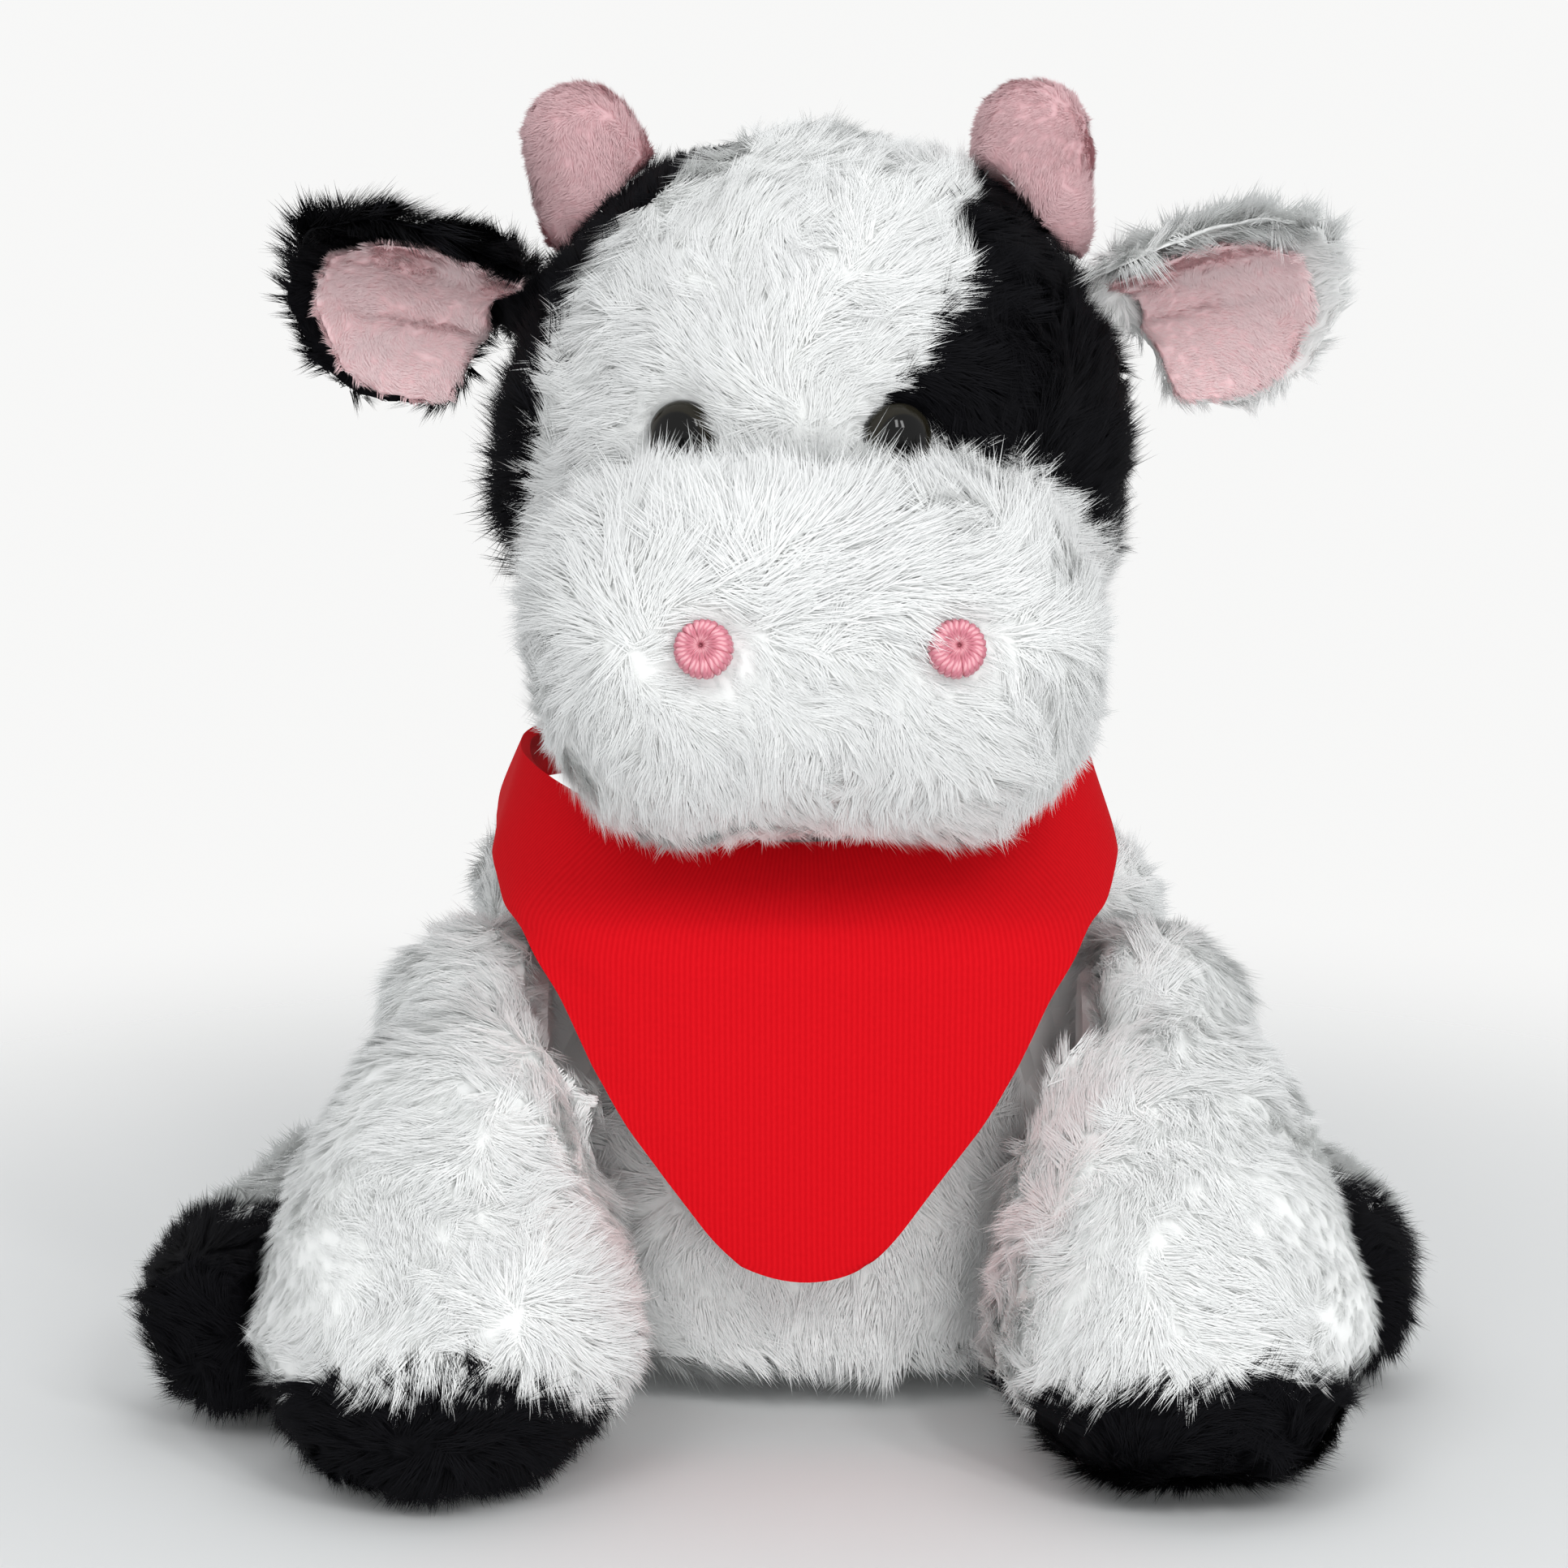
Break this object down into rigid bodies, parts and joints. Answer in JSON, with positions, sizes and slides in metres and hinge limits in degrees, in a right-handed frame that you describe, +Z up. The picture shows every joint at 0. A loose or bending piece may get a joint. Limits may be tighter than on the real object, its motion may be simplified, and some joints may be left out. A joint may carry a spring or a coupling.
{
  "type": "plush cow",
  "caption": "Sitting plush toy cow with stuffed head, muzzle, horns, ears and legs on sewn joints, and a neck bandana with a hanging flap.",
  "frame": {"origin": "middle of the ground under the toy's outline, at the height of the soles", "axes": "+Z up, -Y the way the cow faces, +X its left side"},
  "size_m": [0.2342, 0.1812, 0.2346],
  "materials": {
    "white_plush": "long pile, matte",
    "black_plush": "long pile, matte",
    "pink_velour": "short pile, matte",
    "pink_yarn": "twisted yarn, matte",
    "red_knit": "fine rib knit, matte",
    "eye_plastic": "glossy",
    "washer_plastic": "matte",
    "fibre": "loose fibre, matte",
    "bag_cloth": "plain weave, matte"
  },
  "bodies": {
    "torso": {"torso_skin": "white_plush", "torso_stuffing": "fibre", "pellet_bag": "bag_cloth", "bandana_band": "red_knit"},
    "bandana_flap": {"bandana_flap": "red_knit"},
    "head": {"head_skin": "white_plush", "eye_patch": "black_plush", "side_patch": "black_plush", "head_stuffing": "fibre", "muzzle_skin": "white_plush", "muzzle_stuffing": "fibre", "nostril_left": "pink_yarn", "nostril_right": "pink_yarn", "eye_left": "eye_plastic", "eye_right": "eye_plastic", "eye_washer_left": "washer_plastic", "eye_washer_right": "washer_plastic", "horn_left_skin": "pink_velour", "horn_left_stuffing": "fibre", "horn_right_skin": "pink_velour", "horn_right_stuffing": "fibre"},
    "ear_left": {"ear_left_outer": "white_plush", "ear_left_lining": "pink_velour"},
    "ear_right": {"ear_right_outer": "black_plush", "ear_right_lining": "pink_velour"},
    "front_leg_left": {"front_leg_left_skin": "white_plush", "front_leg_left_stuffing": "fibre", "front_hoof_left": "black_plush"},
    "front_leg_right": {"front_leg_right_skin": "white_plush", "front_leg_right_stuffing": "fibre", "front_hoof_right": "black_plush"},
    "hind_leg_left": {"hind_leg_left_skin": "white_plush", "hind_leg_left_stuffing": "fibre", "hind_hoof_left": "black_plush"},
    "hind_leg_right": {"hind_leg_right_skin": "white_plush", "hind_leg_right_stuffing": "fibre", "hind_hoof_right": "black_plush"},
    "tail": {"tail": "white_plush", "tail_tuft": "black_plush"}
  },
  "joints": [
    {"name": "head_turn", "type": "hinge", "parent": "torso", "child": "head", "pos_m": [0.00524, 0.02207, 0.0915], "axis": [0, 0, 1], "range_deg": [-15, 15], "stiffness_Nm_per_rad": 0.06},
    {"name": "front_leg_left_lift", "type": "hinge", "parent": "torso", "child": "front_leg_left", "pos_m": [0.06424, -0.01193, 0.0655], "axis": [-1, 0, 0], "range_deg": [0, 15], "stiffness_Nm_per_rad": 0.06},
    {"name": "front_leg_right_lift", "type": "hinge", "parent": "torso", "child": "front_leg_right", "pos_m": [-0.05376, -0.01193, 0.0655], "axis": [-1, 0, 0], "range_deg": [0, 15], "stiffness_Nm_per_rad": 0.06},
    {"name": "hind_leg_left_swing", "type": "hinge", "parent": "torso", "child": "hind_leg_left", "pos_m": [0.06024, 0.02707, 0.0245], "axis": [0, 0, 1], "range_deg": [0, 20], "stiffness_Nm_per_rad": 0.06},
    {"name": "hind_leg_right_swing", "type": "hinge", "parent": "torso", "child": "hind_leg_right", "pos_m": [-0.04976, 0.02707, 0.0245], "axis": [0, 0, -1], "range_deg": [0, 20], "stiffness_Nm_per_rad": 0.06},
    {"name": "ear_left_flap", "type": "hinge", "parent": "head", "child": "ear_left", "pos_m": [0.05617, 0.02789, 0.19214], "axis": [0, 1, 0], "range_deg": [-18, 18], "stiffness_Nm_per_rad": 0.02},
    {"name": "ear_right_flap", "type": "hinge", "parent": "head", "child": "ear_right", "pos_m": [-0.04567, 0.02789, 0.19214], "axis": [0, 1, 0], "range_deg": [-18, 18], "stiffness_Nm_per_rad": 0.02},
    {"name": "tail_swing", "type": "hinge", "parent": "torso", "child": "tail", "pos_m": [0.00524, 0.06745, 0.0335], "axis": [0, 1, 0], "range_deg": [-30, 30], "stiffness_Nm_per_rad": 0.01},
    {"name": "bandana_flap_lift", "type": "hinge", "parent": "torso", "child": "bandana_flap", "pos_m": [0.00324, -0.03993, 0.0885], "axis": [-1, 0, 0], "range_deg": [0, 35]}
  ]
}
